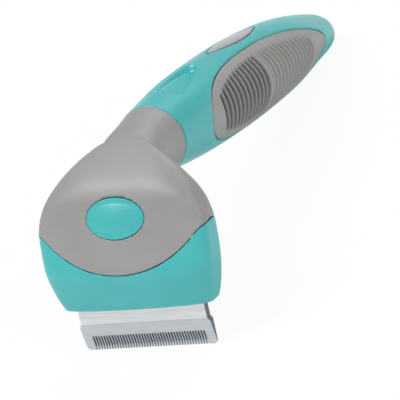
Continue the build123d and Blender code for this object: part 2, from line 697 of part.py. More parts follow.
def grip_outline(growth):
    """A pad's outline seen from the side: an oval in length and in angle round the handle."""
    points = []
    for k in range(GRIP_POINTS):
        turn = 2 * pi * k / GRIP_POINTS
        y = GRIP_CENTRE_Y + (GRIP_HALF_LENGTH + growth) * power(cos(turn), 2 / GRIP_SQUARENESS)
        radius = handle_radius(y)
        half_angle = radians(GRIP_HALF_ANGLE) + growth / radius
        angle = half_angle * power(sin(turn), 2 / GRIP_SQUARENESS)
        points.append((y, handle_centre(y) + radius * sin(angle)))
    return points


def grip_prism(side, growth):
    """The pad's outline carried across one half of the handle."""
    plane = Plane(origin=(side * 2.0, 0, 0), x_dir=(0, 1, 0), z_dir=(1, 0, 0))
    face = make_face(Spline(*grip_outline(growth), periodic=True))
    return extrude(plane * face, side * FAR)


def groove_cuts(side):
    """The grooves across one pad, shorter towards the pad's ends, in two groups."""
    cuts = []
    for k in range(GROOVE_COUNT):
        y = GROOVE_FIRST_Y + k * GROOVE_PITCH + (GROOVE_GAP if k >= GROOVE_GAP_AFTER else 0)
        reach = abs(y - GRIP_CENTRE_Y) / GRIP_HALF_LENGTH
        oval = (1 - min(reach, 1.0) ** GRIP_SQUARENESS) ** (1 / GRIP_SQUARENESS)
        radius = handle_radius(y)
        half_angle = radians(GRIP_HALF_ANGLE) * oval - GROOVE_MARGIN / radius
        if half_angle <= 0.1:
            continue
        half_height = radius * sin(half_angle)
        centre = handle_centre(y)
        ring = rod_along_y(0, centre, y - GROOVE_WIDTH / 2, y + GROOVE_WIDTH / 2, radius + 2)
        ring -= rod_along_y(0, centre, y - GROOVE_WIDTH / 2, y + GROOVE_WIDTH / 2,
                            radius - GROOVE_DEPTH)
        x0, x1 = sorted((0, side * FAR))
        ring &= box(x0, x1, y - GROOVE_WIDTH, y + GROOVE_WIDTH, centre - half_height,
                    centre + half_height)
        cuts.append(ring)
    return cuts


def make_grip(side, skin):
    """One rubber pad: the handle's skin inside the pad's outline, with grooves."""
    return (skin & grip_prism(side, 0)) - groove_cuts(side)


def badge_prism(growth):
    """The badge's lens-shaped outline carried upwards from the handle's middle."""
    start = BADGE_START_Y - growth
    end = BADGE_END_Y + growth
    middle = (start + end) / 2
    width = BADGE_HALF_WIDTH + growth
    right = ThreePointArc((0, start), (width, middle), (0, end))
    left = ThreePointArc((0, end), (-width, middle), (0, start))
    return extrude(Plane(origin=(0, 0, handle_centre(middle))) * make_face(right + left), FAR)


def thumb_scoop():
    """The cut for the thumb rest: broad near the neck and narrowing to a rounded end."""
    w = THUMB_HALF_WIDTH
    length = THUMB_END_Y - THUMB_START_Y
    front = Polyline((w * 0.8, THUMB_START_Y), (-w * 0.8, THUMB_START_Y))
    left = Spline((-w * 0.8, THUMB_START_Y), (-w, THUMB_START_Y + length * 0.15),
                  (-w * 0.65, THUMB_START_Y + length * 0.7), (0, THUMB_END_Y),
                  tangents=((-1, 0.4), (1, 0)))
    right = mirror(left, about=Plane.YZ)
    face = make_face(front + left + right)
    middle = THUMB_START_Y + length / 2
    floor = handle_centre(middle) + handle_radius(middle) - THUMB_DEPTH
    return extrude(Plane(origin=(0, 0, floor)) * face, FAR)


def make_handle_parts():
    """The sleeve, its two grips and its badge."""
    outer = handle_form(0)
    outer -= thumb_scoop()
    skin = outer - handle_form(GRIP_DEPTH)
    thin_skin = outer - handle_form(BADGE_DEPTH)
    cavity_start = HANDLE_START_Y + BULKHEAD
    cavity = handle_form(HANDLE_WALL) - box(-FAR, FAR, -FAR, cavity_start, -FAR, 2 * FAR)
    sleeve = outer - cavity
    pocket_skin = outer - handle_form(GRIP_DEPTH + SEATED)
    for side in (-1, 1):
        sleeve -= pocket_skin & grip_prism(side, SEATED)
    sleeve -= (outer - handle_form(BADGE_DEPTH + SEATED)) & badge_prism(SEATED)
    sleeve -= spine_rod(SPINE_RADIUS + SEATED, COLLAR_Y, cavity_start + 1)
    for side in (-1, 1):
        height = handle_centre(HANDLE_SCREW_Y)
        seat = handle_screw_seat()
        sleeve -= rod_along_x(HANDLE_SCREW_Y, height, 0, side * FAR,
                              HANDLE_SCREW_RADIUS + SCREW_CLEARANCE)
        sleeve -= rod_along_x(HANDLE_SCREW_Y, height, side * seat, side * FAR,
                              HANDLE_SCREW_RADIUS * COUNTERBORE)
    grips = [make_grip(side, skin) for side in (-1, 1)]
    badge = thin_skin & badge_prism(0)
    return sleeve, grips, badge


# ---- The whole tool ----------------------------------------------------------------------------
def build_parts():
    """Every node's shape, in the modelling axes."""
    cartridge_front, cartridge_rear = make_cartridge_halves()
    sleeve, grips, badge = make_handle_parts()
    return {
        "blade": make_blade(),
        "clamp_bar": make_clamp_bar(),
        "blade_screws": make_blade_screws(),
        "cartridge_carrier": make_carrier(),
        "cartridge_front": cartridge_front,
        "cartridge_rear": cartridge_rear,
        "cartridge_screws": make_cartridge_screws(),
        "head_shell": make_head_shell(),
        "inner_frame": make_frame(),
        "frame_screws": make_frame_screws(),
        "latch_leaf": make_latch_leaf(),
        "latch_screws": make_latch_screws(),
        "release_button": make_button(),
        "button_spring": make_button_spring(),
        "handle_spine": make_spine(),
        "neck_screws": make_neck_screws(),
        "handle_sleeve": sleeve,
        "handle_screws": make_handle_screws(),
        "grip_left": grips[0],
        "grip_right": grips[1],
        "badge_plate": badge,
    }


def rest_pitch():
    """The angle that brings the tail's underside down to the floor the tooth tips stand on."""
    tip_y = BLADE_THICKNESS
    angles = []
    for k in range(101):
        y = HANDLE_START_Y + HANDLE_LENGTH * (0.5 + 0.5 * k / 100)
        under = handle_centre(y) - handle_radius(y)
        angles.append(atan2(under - TIP_Z, y - tip_y))
    return degrees(min(angles))


def as_solids(shape):
    """The plain solids of a shape or of a list of shapes."""
    if isinstance(shape, list):
        return [solid for item in shape for solid in item.solids()]
    return list(shape.solids())


def place_at_rest(parts):
    """Turn the tool to its rest pose, and put the origin under the middle of its box."""
    turn = Location((0, 0, 0), (-rest_pitch(), 0, 0))
    turned = {name: Compound(children=[s.moved(turn) for s in as_solids(shape)])
              for name, shape in parts.items()}
    boxes = [shape.bounding_box() for shape in turned.values()]
    low = [min(getattr(b.min, axis) for b in boxes) for axis in "XYZ"]
    high = [max(getattr(b.max, axis) for b in boxes) for axis in "XYZ"]
    shift = Location((-(low[0] + high[0]) / 2, -(low[1] + high[1]) / 2, -low[2]))
    return {name: shape.moved(shift) for name, shape in turned.items()}, turn, shift


def main():
    """Build every piece and write it to parts/."""
    os.makedirs("parts", exist_ok=True)
    placed, turn, shift = place_at_rest(build_parts())
    for name, shape in placed.items():
        export_step(shape, f"parts/{name}.step")
    print("rest pitch, degrees:", round(rest_pitch(), 4))
    print("shift:", [round(v, 4) for v in shift.position])


main()
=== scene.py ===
import json
import logging
import math
from dataclasses import dataclass, field
from enum import Enum

import bmesh
import bpy
import numpy as np
from mathutils import Matrix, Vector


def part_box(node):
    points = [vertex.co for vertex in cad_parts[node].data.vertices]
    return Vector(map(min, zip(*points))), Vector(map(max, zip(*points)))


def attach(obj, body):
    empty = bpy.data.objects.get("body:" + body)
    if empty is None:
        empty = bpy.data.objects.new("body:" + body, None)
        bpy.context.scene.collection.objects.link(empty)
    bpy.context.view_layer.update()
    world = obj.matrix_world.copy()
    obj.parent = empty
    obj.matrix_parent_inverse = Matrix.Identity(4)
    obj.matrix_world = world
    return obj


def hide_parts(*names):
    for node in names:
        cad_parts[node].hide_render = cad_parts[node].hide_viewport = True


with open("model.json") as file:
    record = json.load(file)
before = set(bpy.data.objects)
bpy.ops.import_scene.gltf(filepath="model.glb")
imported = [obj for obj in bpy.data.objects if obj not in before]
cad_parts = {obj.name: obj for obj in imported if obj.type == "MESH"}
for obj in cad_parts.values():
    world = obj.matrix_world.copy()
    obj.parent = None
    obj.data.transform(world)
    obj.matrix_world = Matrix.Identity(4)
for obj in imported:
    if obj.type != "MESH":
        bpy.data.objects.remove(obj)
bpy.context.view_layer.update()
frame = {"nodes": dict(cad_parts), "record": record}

LOG = logging.getLogger("deshedding_tool")
Array = np.ndarray


class Body(Enum):
    """The rigid bodies that pieces ride on."""

    ROOT = "handle_and_head"
    BUTTON = "button"
    CARTRIDGE = "cartridge"


class Side(Enum):
    """The two sides of the tool."""

    LEFT = -1
    RIGHT = 1


# ---- Frame and interpolation ---------------------------------------------------------------------
@dataclass(frozen=True)
class RestFrame:
    """The tool's own axes (millimetres, Z away from the teeth) as they lie in the row frame."""

    pitch: float
    shift: tuple[float, float, float]

    @classmethod
    def from_record(cls, blade_thickness: float, bevel_height: float) -> "RestFrame":
        """Read the pitch from the cartridge's slide axis and the shift from the blade's box.

        Args:
            blade_thickness: thickness of the comb blade, in millimetres.
            bevel_height: height of its bevel, in millimetres.

        Returns:
            The frame that the whole visual model is placed with.
        """
        joints = frame["record"]["behaviour"]["joints"]
        axis = next(j["axis"] for j in joints if j["name"] == "cartridge_slide")
        pitch = math.atan2(-axis[1], -axis[2])
        low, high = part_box("blade")
        tip = blade_thickness * math.sin(pitch) + bevel_height * math.cos(pitch)
        centre = (low[0] + high[0]) / 2 * 1000
        return cls(pitch, (centre, low[1] * 1000, low[2] * 1000 + tip))

    def turn(self, vectors: Array) -> Array:
        """Turn directions from the tool's axes to the row's.

        Args:
            vectors: array whose last axis is X, Y, Z in the tool's axes.

        Returns:
            The same directions in the row's axes.
        """
        c, s = math.cos(self.pitch), math.sin(self.pitch)
        x, y, z = vectors[..., 0], vectors[..., 1], vectors[..., 2]
        return np.stack([x, y * c + z * s, z * c - y * s], axis=-1)

    def place(self, points: Array) -> Array:
        """Turn and shift points in millimetres into the row frame, in metres."""
        return (self.turn(points) + np.array(self.shift)) / 1000


@dataclass(frozen=True)
class SmoothTable:
    """A smooth curve through a few stations: cubic pieces with finite-difference slopes."""

    at: tuple[float, ...]
    values: tuple[float, ...]

    def __call__(self, where: Array) -> Array:
        """Evaluate the curve.

        Args:
            where: positions, clamped to the first and last station.

        Returns:
            The interpolated values, the same shape as the positions.
        """
        x = np.asarray(self.at, dtype=float)
        y = np.asarray(self.values, dtype=float)
        slopes = np.gradient(y, x)
        w = np.clip(where, x[0], x[-1])
        k = np.clip(np.searchsorted(x, w) - 1, 0, len(x) - 2)
        h = x[k + 1] - x[k]
        t = (w - x[k]) / h
        rise = y[k] * (2 * t**3 - 3 * t**2 + 1) + y[k + 1] * (3 * t**2 - 2 * t**3)
        return rise + h * (slopes[k] * (t**3 - 2 * t**2 + t) + slopes[k + 1] * (t**3 - t**2))


def smoothstep(low: float, high: float, value: Array) -> Array:
    """The smooth 0-to-1 step 3t^2 - 2t^3 between low and high."""
    t = np.clip((value - low) / (high - low), 0, 1)
    return t * t * (3 - 2 * t)


# ---- Meshes --------------------------------------------------------------------------------------
@dataclass
class Sheet:
    """One or more point grids, in the tool's millimetres, that become a single mesh."""

    name: str
    vertices: list[Array] = field(default_factory=list)
    faces: list[list[int]] = field(default_factory=list)
    attributes: dict[str, list[Array]] = field(default_factory=dict)
    count: int = 0

    def add_grid(self, points: Array, closed: bool = False, pole: bool = False, **values: Array) -> None:
        """Add a grid of quads, and a fan from its last row to a single point if it has a pole.

        Args:
            points: array of rows by columns by 3.
            closed: True if the last column joins the first.
            pole: True if the last row is a single point, repeated.
            **values: one float per point for each named attribute.
        """
        rows, cols = points.shape[:2]
        body = rows - 1 if pole else rows
        index = np.arange(body * cols).reshape(body, cols) + self.count
        right = np.roll(index, -1, axis=1) if closed else index[:, 1:]
        left = index if closed else index[:, :-1]
        quads = np.stack([left[:-1], right[:-1], right[1:], left[1:]], axis=-1).reshape(-1, 4)
        self.faces.extend(quads.tolist())
        flat = points[:body].reshape(-1, 3)
        if pole:
            tip = np.full_like(left[-1], self.count + body * cols)
            self.faces.extend(np.stack([left[-1], right[-1], tip], axis=-1).tolist())
            flat = np.vstack([flat, points[-1, :1]])
        self.vertices.append(flat)
        for key, value in values.items():
            kept = value[:body].reshape(-1)
            kept = np.append(kept, value[-1, 0]) if pole else kept
            self.attributes.setdefault(key, []).append(kept)
        self.count += len(flat)

    def build(self, rest: RestFrame, weld: bool = False) -> bpy.types.Object:
        """Make the object, at the origin, with outward normals and smooth shading.

        Args:
            rest: places the points in the row frame.
            weld: True to join grids whose edges share points.

        Returns:
            The linked object.
        """
        mesh = bpy.data.meshes.new(self.name)
        mesh.from_pydata(rest.place(np.vstack(self.vertices)).tolist(), [], self.faces)
        for key, parts in self.attributes.items():
            layer = mesh.attributes.new(key, "FLOAT", "POINT")
            layer.data.foreach_set("value", np.concatenate(parts).astype(np.float32))
        work = bmesh.new()
        work.from_mesh(mesh)
        if weld:
            bmesh.ops.remove_doubles(work, verts=work.verts, dist=2e-6)
        bmesh.ops.recalc_face_normals(work, faces=work.faces)
        work.to_mesh(mesh)
        work.free()
        mesh.polygons.foreach_set("use_smooth", [True] * len(mesh.polygons))
        obj = bpy.data.objects.new(self.name, mesh)
        bpy.context.collection.objects.link(obj)
        return obj


def thicken(obj: bpy.types.Object, thickness: float, edge: float = 0.0) -> None:
    """Give a skin a wall, and rounded rims if they have a radius.

    Args:
        obj: the skin.
        thickness: wall thickness in millimetres, laid inwards.
        edge: radius of the rims in millimetres, or 0 to leave them sharp.
    """
    wall = obj.modifiers.new("wall", "SOLIDIFY")
    wall.thickness = thickness / 1000
    wall.offset = -1
    if edge == 0:
        return
    bevel = obj.modifiers.new("rims", "BEVEL")
    bevel.width = edge / 1000
    bevel.segments = 3
    bevel.limit_method = "ANGLE"
    bevel.angle_limit = math.radians(48)


# ---- Finishes ------------------------------------------------------------------------------------
@dataclass
class Nodes:
    """Short-hand for building a node tree."""

    tree: bpy.types.NodeTree

    def add(self, kind: str, inputs: dict | None = None, **settings: object) -> bpy.types.Node:
        """Add a node.

        Args:
            kind: the node's type.
            inputs: values or output sockets for its inputs, by name or index.
            **settings: properties of the node.

        Returns:
            The new node.
        """
        node = self.tree.nodes.new(kind)
        for key, value in settings.items():
            setattr(node, key, value)
        for key, value in (inputs or {}).items():
            socket = node.inputs[key]
            if isinstance(value, bpy.types.NodeSocket):
                self.tree.links.new(value, socket)
            else:
                socket.default_value = value
        return node

    def maths(self, operation: str, a: object, b: object = 0.0) -> bpy.types.NodeSocket:
        """Add a Math node and return its output."""
        return self.add("ShaderNodeMath", {0: a, 1: b}, operation=operation).outputs[0]

    def ramp(self, value: object, low: float, high: float, out_low: float, out_high: float
             ) -> bpy.types.NodeSocket:
        """Add a clamped Map Range node and return its output."""
        inputs = dict(zip(("Value", "From Min", "From Max", "To Min", "To Max"),
                          (value, low, high, out_low, out_high)))
        return self.add("ShaderNodeMapRange", inputs, clamp=True).outputs[0]

    def mix(self, factor: object, a: object, b: object) -> bpy.types.NodeSocket:
        """Add a colour Mix node and return its output."""
        return self.add("ShaderNodeMix", {0: factor, 6: a, 7: b}, data_type="RGBA").outputs[2]

    def effect(self, group: bpy.types.NodeTree, coords: object, scale: float) -> bpy.types.Node:
        """Add a shared effect, laid out on the given coordinates.

        Args:
            group: the effect's node group.
            coords: the coordinates' output socket.
            scale: the effect's scale.

        Returns:
            The group's node.
        """
        node = self.add("ShaderNodeGroup", node_tree=group)
        self.tree.links.new(coords, node.inputs["Vector"])
        node.inputs["Scale"].default_value = scale
        return node

    def shade(self, attribute: str, colour: object, dark: tuple[float, float, float]) -> object:
        """Mix a colour towards a darker one where a piece's own attribute says so.

        Args:
            attribute: the attribute's name, or an empty string for none.
            colour: the colour's output socket.
            dark: the darker colour.

        Returns:
            The colour's new output socket.
        """
        if not attribute:
            return colour
        mask = self.add("ShaderNodeAttribute", attribute_name=attribute).outputs["Fac"]
        return self.mix(mask, colour, (*dark, 1.0))

    def finish(self, shader: bpy.types.Node, colour: object, rough: object, bump: dict) -> None:
        """Wire the colour, the roughness and the relief into a shader.

        Args:
            shader: the Principled node.
            colour: the colour's output socket.
            rough: the roughness's output socket.
            bump: the Bump node's strength, distance and height.
        """
        normal = self.add("ShaderNodeBump", bump).outputs[0]
        for value, name in ((colour, "Base Color"), (rough, "Roughness"), (normal, "Normal")):
            self.tree.links.new(value, shader.inputs[name])


def new_group(name: str, inputs: dict[str, tuple[str, float]], outputs: dict[str, str]
              ) -> tuple[bpy.types.NodeTree, Nodes, bpy.types.Node, bpy.types.Node]:
    """Start a shader node group.

    Args:
        name: the group's name.
        inputs: socket type and default of each input.
        outputs: socket type of each output.

    Returns:
        The group, its builder, and its input and output nodes.
    """
    group = bpy.data.node_groups.new(name, "ShaderNodeTree")
    for label, (kind, default) in inputs.items():
        socket = group.interface.new_socket(label, in_out="INPUT", socket_type=kind)
        if kind == "NodeSocketFloat":
            socket.default_value = default
    for label, kind in outputs.items():
        group.interface.new_socket(label, in_out="OUTPUT", socket_type=kind)
    nodes = Nodes(group)
    return group, nodes, nodes.add("NodeGroupInput"), nodes.add("NodeGroupOutput")


class Effects:
    """The shader node groups that several materials share, each built once."""

    def __init__(self) -> None:
        """Build the groups."""
        self.grain = self._grain()
        self.brush = self._brush()

    @staticmethod
    def _grain() -> bpy.types.NodeTree:
        """A moulded surface: fine pimples, broad flow clouds and a few handling marks.

        Returns:
            The node group.
        """
        group, nodes, start, end = new_group(
            "moulded_grain",
            {"Vector": ("NodeSocketVector", 0.0), "Scale": ("NodeSocketFloat", 2600.0)},
            {"Height": "NodeSocketFloat", "Cloud": "NodeSocketFloat", "Marks": "NodeSocketFloat"},
        )
        vector, scale = start.outputs["Vector"], start.outputs["Scale"]
        fine = nodes.add("ShaderNodeTexNoise", {"Vector": vector, "Scale": scale, "Detail": 3.0})
        cells = nodes.add("ShaderNodeTexVoronoi", {"Vector": vector, "Scale": scale})
        cloud = nodes.add("ShaderNodeTexNoise", {"Vector": vector, "Scale": 45.0, "Detail": 2.0})
        marks = nodes.add("ShaderNodeTexNoise", {"Vector": vector, "Scale": 320.0, "Detail": 5.0,
                                                 "Roughness": 0.7, "Distortion": 1.4})
        height = nodes.maths("ADD", nodes.maths("MULTIPLY", fine.outputs[0], 0.6),
                             nodes.maths("MULTIPLY", cells.outputs["Distance"], 0.5))
        link = group.links.new
        link(height, end.inputs["Height"])
        link(cloud.outputs[0], end.inputs["Cloud"])
        link(nodes.ramp(marks.outputs[0], 0.52, 0.72, 0.0, 1.0), end.inputs["Marks"])
        return group

    @staticmethod
    def _brush() -> bpy.types.NodeTree:
        """Brushed metal: streaks that run along X, at two widths.

        Returns:
            The node group.
        """
        group, nodes, start, end = new_group(
            "brushed_streaks",
            {"Vector": ("NodeSocketVector", 0.0), "Scale": ("NodeSocketFloat", 1.0)},
            {"Height": "NodeSocketFloat", "Streak": "NodeSocketFloat"},
        )
        scaled = nodes.add("ShaderNodeVectorMath", {0: start.outputs["Vector"], 1: (120.0, 6000.0, 6000.0)},
                           operation="MULTIPLY").outputs[0]
        scaled = nodes.add("ShaderNodeVectorMath", {0: scaled, "Scale": start.outputs["Scale"]},
                           operation="SCALE").outputs[0]
        fine = nodes.add("ShaderNodeTexNoise", {"Vector": scaled, "Scale": 1.0, "Detail": 4.0})
        broad = nodes.add("ShaderNodeTexNoise", {"Vector": scaled, "Scale": 0.22, "Detail": 2.0})
        total = nodes.maths("ADD", nodes.maths("MULTIPLY", fine.outputs[0], 0.6),
                            nodes.maths("MULTIPLY", broad.outputs[0], 0.4))
        group.links.new(fine.outputs[0], end.inputs["Height"])
        group.links.new(nodes.ramp(total, 0.35, 0.65, 0.0, 1.0), end.inputs["Streak"])
        return group


def new_material(name: str) -> tuple[bpy.types.Material, Nodes, bpy.types.Node, bpy.types.NodeSocket]:
    """Start a material.

    Args:
        name: the material's name.

    Returns:
        The material, its builder, its Principled node, and object coordinates.
    """
    material = bpy.data.materials.new(name)
    material.use_nodes = True
    nodes = Nodes(material.node_tree)
    shader = material.node_tree.nodes["Principled BSDF"]
    coords = nodes.add("ShaderNodeTexCoord").outputs["Object"]
    return material, nodes, shader, coords


@dataclass(frozen=True)
class Moulded:
    """A moulded plastic or rubber finish."""

    name: str
    colour: tuple[float, float, float]
    roughness: float
    grain: float = 2600.0
    relief: float = 0.05
    coat: float = 0.0
    shade_attribute: str = ""
    shade_colour: tuple[float, float, float] = (0.03, 0.03, 0.03)

    def material(self, effects: Effects) -> bpy.types.Material:
        """Build the finish: base colour with soft clouds, marks in the sheen and fine grain.

        Args:
            effects: the shared node groups.

        Returns:
            The material.
        """
        material, nodes, shader, coords = new_material(self.name)
        group = nodes.effect(effects.grain, coords, self.grain)
        base = (*self.colour, 1.0)
        light = (*[min(1.0, c * 1.07 + 0.004) for c in self.colour], 1.0)
        colour = nodes.mix(nodes.ramp(group.outputs["Cloud"], 0.35, 0.65, 0.0, 1.0), base, light)
        # darker where the piece's shade attribute says; on the pads this is painted shade in the grooves
        colour = nodes.shade(self.shade_attribute, colour, self.shade_colour)
        rough = nodes.ramp(group.outputs["Marks"], 0.0, 1.0, self.roughness, self.roughness + 0.06)
        nodes.finish(shader, colour, rough, {"Strength": self.relief, "Distance": 0.0002,
                                             "Height": group.outputs["Height"]})
        shader.inputs["Coat Weight"].default_value = self.coat
        shader.inputs["Coat Roughness"].default_value = 0.12
        return material


@dataclass(frozen=True)
class Brushed:
    """A brushed or plated steel finish."""

    name: str
    colour: tuple[float, float, float]
    roughness: float
    contrast: float = 0.25
    relief: float = 0.08
    metallic: float = 1.0
    shade_attribute: str = ""
    shade_colour: tuple[float, float, float] = (0.03, 0.035, 0.05)

    def material(self, effects: Effects) -> bpy.types.Material:
        """Build the finish: streaks in the colour, the roughness and the relief.

        Args:
            effects: the shared node groups.

        Returns:
            The material.
        """
        material, nodes, shader, coords = new_material(self.name)
        group = nodes.effect(effects.brush, coords, 1.0)
        dark = (*[c * (1 - self.contrast) for c in self.colour], 1.0)
        colour = nodes.mix(group.outputs["Streak"], dark, (*self.colour, 1.0))
        colour = nodes.shade(self.shade_attribute, colour, self.shade_colour)
        rough = nodes.ramp(group.outputs["Streak"], 0.0, 1.0, self.roughness + 0.08, self.roughness)
        nodes.finish(shader, colour, rough, {"Strength": self.relief, "Distance": 0.0001,
                                             "Height": group.outputs["Height"]})
        shader.inputs["Metallic"].default_value = self.metallic
        return material


@dataclass(frozen=True)
class CombSteel:
    """The comb's steel: a brushed land lightened with a painted highlight, a duller ground bevel, and slot
    walls darkened with painted shade.
    """

    name: str
    # up-facing land: the steel's brushed tone, lifted to near white by a painted highlight
    land_and_highlight: tuple[float, float, float] = (0.95, 0.95, 0.96)
    bevel: tuple[float, float, float] = (0.64, 0.66, 0.69)
    # painted shade on the slot walls, darkest deep in the slots
    wall: tuple[float, float, float] = (0.035, 0.045, 0.075)
    # tooth fronts, and the slot walls near the tips where the painted shade thins out
    tip: tuple[float, float, float] = (0.20, 0.22, 0.26)
    # painted shade on the blade's sideways end faces
    shoulder_shade: tuple[float, float, float] = (0.22, 0.23, 0.25)
    streak: tuple[float, float, float] = (0.30, 0.31, 0.33)
    slots_half: float = 0.0226
    slots_top: float = 0.0060

    def material(self, effects: Effects) -> bpy.types.Material:
        """Build the finish: the faces are told apart by the way they face, which paints light and shade: a
        painted highlight on the up-facing land and painted shade on the sideways faces.

        Args:
            effects: the shared node groups.

        Returns:
            The material.
        """
        material, nodes, shader, coords = new_material(self.name)
        group = nodes.effect(effects.brush, coords, 1.0)
        normal = nodes.add("ShaderNodeNewGeometry").outputs["True Normal"]
        facing = nodes.add("ShaderNodeSeparateXYZ", {0: normal})
        place = nodes.add("ShaderNodeSeparateXYZ", {0: coords})
        # faces turned up get the land colour with its painted highlight, the others the bevel's
        flat = nodes.ramp(facing.outputs[2], 0.08, 0.16, 0.0, 1.0)
        front = nodes.mix(flat, (*self.bevel, 1.0), (*self.land_and_highlight, 1.0))
        low = nodes.ramp(place.outputs[2], self.slots_top - 0.0004, self.slots_top, 1.0, 0.0)
        within = nodes.maths("LESS_THAN", nodes.maths("ABSOLUTE", place.outputs[0]), self.slots_half)
        toothed = nodes.maths("MULTIPLY", nodes.maths("MULTIPLY", low, within), 0.45)
        front = nodes.mix(toothed, front, (*self.tip, 1.0))
        streaked = nodes.mix(nodes.ramp(group.outputs["Streak"], 0.0, 1.0, 0.30, 0.0), front,
                             (*self.streak, 1.0))
        # sideways faces get painted shade: on the slot walls darker the deeper in the slot, on the end
        # faces the shoulder colour
        sideways_shade = nodes.ramp(nodes.maths("ABSOLUTE", facing.outputs[0]), 0.6, 0.8, 0.0, 1.0)
        wall = nodes.mix(nodes.ramp(place.outputs[2], 0.0005, 0.0045, 0.0, 1.0), (*self.tip, 1.0),
                         (*self.wall, 1.0))
        side = nodes.mix(within, (*self.shoulder_shade, 1.0), wall)
        rough = nodes.ramp(group.outputs["Streak"], 0.0, 1.0, 0.42, 0.30)
        nodes.finish(shader, nodes.mix(sideways_shade, streaked, side), rough,
                     {"Strength": 0.06, "Distance": 0.0001, "Height": group.outputs["Height"]})
        shader.inputs["Metallic"].default_value = 0.75
        return material


class Finish(Enum):
    """Every finish on the tool."""

    TEAL = Moulded("teal_plastic", (0.058, 0.465, 0.47), 0.34, coat=0.12)
    GREY = Moulded("grey_plastic", (0.31, 0.306, 0.298), 0.42)
    # the pads' grooves are mixed towards shade_colour: painted shade in the grooves
    RUBBER = Moulded("pad_rubber", (0.335, 0.33, 0.318), 0.55, grain=1800.0, relief=0.12,
                     shade_attribute="groove", shade_colour=(0.012, 0.010, 0.008))
    INNER = Moulded("inner_plastic", (0.06, 0.065, 0.07), 0.5)
    CORE = Moulded("core_plastic", (0.03, 0.032, 0.036), 0.5)
    BLADE = CombSteel("blade_steel")
    SCREW = Brushed("screw_steel", (0.52, 0.53, 0.55), 0.30)
    SPRING = Brushed("spring_steel", (0.36, 0.38, 0.44), 0.30)
    BADGE = Brushed("badge_metal", (0.62, 0.61, 0.66), 0.26, contrast=0.15, metallic=0.6,
                    shade_attribute="end")


@dataclass
class Paintbox:
    """Makes each finish's material once, and dresses pieces with it."""

    effects: Effects
    made: dict[Finish, bpy.types.Material] = field(default_factory=dict)

    def dress(self, obj: bpy.types.Object, finish: Finish) -> None:
        """Give an object one finish, in all its material slots.

        Args:
            obj: the object.
            finish: the finish to give it.
        """
        if finish not in self.made:
            self.made[finish] = finish.value.material(self.effects)
        obj.data.materials.clear()
        obj.data.materials.append(self.made[finish])


@dataclass(frozen=True)
class Shop:
    """What every sub-assembly needs to build and dress its pieces."""

    rest: RestFrame
    paint: Paintbox

    def fit(self, obj: bpy.types.Object, body: Body, finish: Finish, slot: str, *nodes: str) -> None:
        """Dress a piece, let it ride on a body and hide the CAD nodes that it stands for.

        Args:
            obj: the piece.
            body: the body that it moves with.
            finish: its material.
            slot: the record's material slot; not used.
            *nodes: the CAD nodes that it replaces.
        """
        self.paint.dress(obj, finish)
        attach(obj, body.value)
        if nodes:
            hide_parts(*nodes)
        LOG.info("%s: %d faces on %s", obj.name, len(obj.data.polygons), body.value)


# ---- Head and cartridge --------------------------------------------------------------------------
@dataclass(frozen=True)
class HeadForm:
    """The outer form that the cover and the cartridge share: a rounded box at every height."""

    heights: tuple[float, ...] = (6.6, 9, 14, 21, 29, 37, 43, 48, 52, 56, 60, 62.5, 63.8)
    half_widths: tuple[float, ...] = (29.3, 30.2, 31.5, 32.7, 33.2, 32.9, 31.0, 28.0, 24.4, 19.6, 13.4,
                                      8.0, 2.6)
    fronts: tuple[float, ...] = (-5.0, -6.0, -7.6, -9, -7, -4.8, -3.2, -1.6, 0.8, 4.9, 10.1, 13.9, 16.9)
    middles: tuple[float, ...] = (2.5, 2.5, 2.5, 2.5, 2.6, 3.2, 4.6, 6.4, 8.2, 10, 12.6, 15.0, 16.9)
    backs: tuple[float, ...] = (9.2, 9.9, 11.2, 12.2, 13, 13.4, 13.6, 13.9, 14.4, 15.4, 17.2, 18.0, 16.9)
    crisp: tuple[float, float, float] = (10.0, 5.0, 0.28)
    soft: tuple[float, float, float] = (4.0, 2.2, 0.0)
    crisp_below: float = 38.0
    soft_above: float = 53.0
    seam_radius: float = 41.0
    seam_bottom: float = 21.1
    seam_arc_half: float = 28.5
    seam_ear: float = 36.0
    seam_ear_x: float = 35.0

    def half_width(self, z: Array) -> Array:
        """Half width at a height."""
        return SmoothTable(self.heights, self.half_widths)(z)

    def depth(self, x: Array, z: Array, front: bool) -> Array:
        """Y of the front or the back: middle -+ reach (1 - |x/w|^p)^(1/q) (1 - bow (x/w)^2).

        The powers p and q and the bow are crisp low on the head and soft above.

        Args:
            x: places across the head.
            z: heights.
            front: True for the front face.

        Returns:
            Y at each place.
        """
        middle = SmoothTable(self.heights, self.middles)(z)
        face = SmoothTable(self.heights, self.fronts if front else self.backs)(z)
        upper = smoothstep(self.crisp_below, self.soft_above, z)
        p, q, bow = (low + (high - low) * upper for low, high in zip(self.crisp, self.soft))
        share = np.clip(np.abs(x / self.half_width(z)), 0, 1)
        inside = np.clip(1 - share**p, 0, 1) ** (1 / q)
        return middle + (face - middle) * inside * (1 - bow * share**2)

    def seam(self, x: Array) -> Array:
        """Height of the seam: an arc, then an S-shaped rise to a level ear.

        Args:
            x: places across the head.

        Returns:
            The seam's height there.
        """
        a = np.abs(x)
        top = self.seam_bottom + self.seam_radius
        arc = top - np.sqrt(self.seam_radius**2 - np.minimum(a, self.seam_arc_half) ** 2)
        start = top - math.sqrt(self.seam_radius**2 - self.seam_arc_half**2)
        slope = self.seam_arc_half / (top - start)
        run = self.seam_ear_x - self.seam_arc_half
        t = np.clip((a - self.seam_arc_half) / run, 0, 1)
        rise = start * (2 * t**3 - 3 * t**2 + 1) + self.seam_ear * (3 * t**2 - 2 * t**3)
        rise = rise + slope * run * (t**3 - 2 * t**2 + t)
        return np.where(a < self.seam_arc_half, arc, rise)


